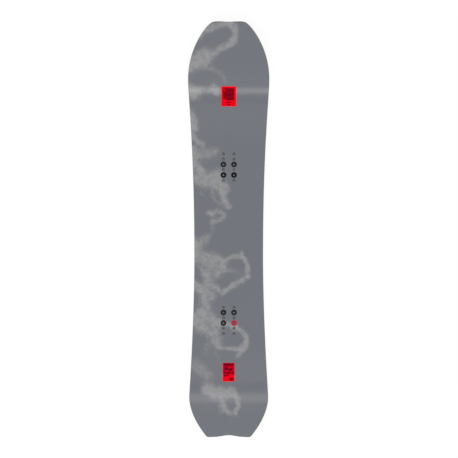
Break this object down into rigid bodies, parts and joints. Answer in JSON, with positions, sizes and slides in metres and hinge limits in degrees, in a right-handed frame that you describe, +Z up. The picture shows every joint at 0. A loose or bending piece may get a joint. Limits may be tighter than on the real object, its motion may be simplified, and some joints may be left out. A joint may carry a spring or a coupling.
{
  "type": "snowboard",
  "caption": "Bare directional snowboard with a notched tail: a laminated wood core with steel edges, raised nose and tail, and threaded binding inserts.",
  "frame": {"origin": "centre of the footprint, on the ground that the board lies on", "axes": "X across the board, +Y towards the nose, +Z up with the topsheet up"},
  "size_m": [0.3074, 1.5719, 0.0646],
  "materials": {
    "base": "black sintered polyethylene with a fine lengthwise stone-ground structure, waxed",
    "edge_steel": "ground steel",
    "edge_foil": "matt rubber",
    "glass_laminate": "resin-set glass fibre weave",
    "sidewall": "black sanded plastic",
    "core_pale": "bare pale wood, lengthwise grain",
    "core_dark": "bare darker wood, lengthwise grain",
    "tip_spacer": "dark plastic sheet",
    "topsheet": "satin grey print with pale smoke clouds",
    "insert_steel": "plain turned steel"
  },
  "bodies": {
    "root": {"base_sheet": "base", "steel_edge_nose_right": "edge_steel", "steel_edge_nose_left": "edge_steel", "steel_edge_front_right": "edge_steel", "steel_edge_front_left": "edge_steel", "steel_edge_rear_right": "edge_steel", "steel_edge_rear_left": "edge_steel", "steel_edge_tail_right": "edge_steel", "steel_edge_tail_left": "edge_steel", "edge_foil_right": "edge_foil", "edge_foil_left": "edge_foil", "bottom_glass": "glass_laminate", "sidewall_right": "sidewall", "sidewall_left": "sidewall", "core_strip_1": "core_pale", "core_strip_2": "core_dark", "core_strip_3": "core_pale", "core_strip_4": "core_dark", "core_strip_5": "core_pale", "core_strip_6": "core_dark", "core_strip_7": "core_pale", "core_strip_8": "core_dark", "core_strip_9": "core_pale", "core_strip_10": "core_dark", "core_strip_11": "core_pale", "core_strip_12": "core_dark", "core_strip_13": "core_pale", "nose_spacer": "tip_spacer", "tail_spacer": "tip_spacer", "top_glass": "glass_laminate", "topsheet": "topsheet", "insert_front_1": "insert_steel", "insert_front_2": "insert_steel", "insert_front_3": "insert_steel", "insert_front_4": "insert_steel", "insert_front_5": "insert_steel", "insert_front_6": "insert_steel", "insert_front_7": "insert_steel", "insert_front_8": "insert_steel", "insert_front_9": "insert_steel", "insert_front_10": "insert_steel", "insert_front_11": "insert_steel", "insert_front_12": "insert_steel", "insert_rear_1": "insert_steel", "insert_rear_2": "insert_steel", "insert_rear_3": "insert_steel", "insert_rear_4": "insert_steel", "insert_rear_5": "insert_steel", "insert_rear_6": "insert_steel", "insert_rear_7": "insert_steel", "insert_rear_8": "insert_steel", "insert_rear_9": "insert_steel", "insert_rear_10": "insert_steel", "insert_rear_11": "insert_steel", "insert_rear_12": "insert_steel"}
  },
  "joints": []
}
